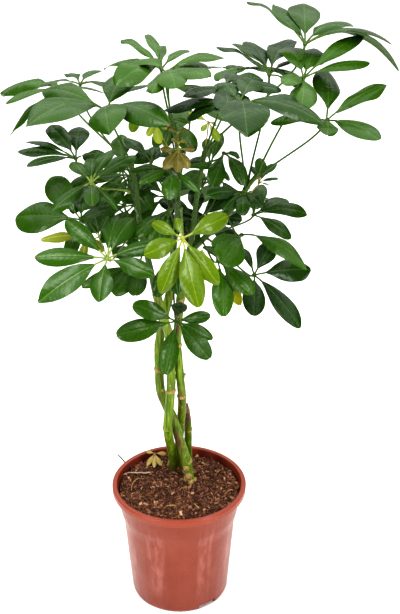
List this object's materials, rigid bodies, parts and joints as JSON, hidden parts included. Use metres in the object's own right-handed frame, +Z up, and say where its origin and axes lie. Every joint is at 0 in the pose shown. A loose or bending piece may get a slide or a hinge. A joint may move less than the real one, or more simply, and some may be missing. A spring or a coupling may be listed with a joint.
{
  "type": "potted umbrella plant",
  "caption": "Dwarf umbrella plant with plaited green canes and whorled glossy leaves, standing in peat in a round terracotta-coloured plastic nursery pot.",
  "frame": {"origin": "Centre of the pot's underside, on the surface that the pot stands on.", "axes": "+Z is up, along the pot's axis and the plant's height; +X is the viewer's right and -Y is the side that the viewer stands on."},
  "size_m": [0.4585, 0.4076, 0.7455],
  "materials": {
    "terracotta_plastic": "semi-gloss moulded polypropylene",
    "peat": "moist crumbly peat with fibres",
    "green_cane": "smooth young green bark with tan leaf scars",
    "leaf_green": "glossy dark green leaf",
    "lime_leaf": "glossy lime young leaf",
    "fresh_leaf": "glossy fresh green leaf",
    "bronze_leaf": "soft bronze young leaf",
    "yellow_leaf": "dull yellowing leaf",
    "pale_seedling": "soft pale seedling"
  },
  "bodies": {
    "root": {"pot": "terracotta_plastic", "soil": "peat", "cane_diagonal": "green_cane", "cane_front": "green_cane", "cane_right": "green_cane", "cane_stub": "green_cane", "shoot_left": "leaf_green", "shoot_middle": "leaf_green", "shoot_right": "leaf_green", "leaf_lime": "lime_leaf", "leaf_fresh_low": "fresh_leaf", "leaf_fresh_high": "fresh_leaf", "leaf_fading": "yellow_leaf", "leaf_bronze": "bronze_leaf", "bud_right": "lime_leaf", "young_left": "lime_leaf", "young_right": "lime_leaf", "leaf_yellow": "yellow_leaf", "seedling": "pale_seedling"}
  },
  "joints": []
}
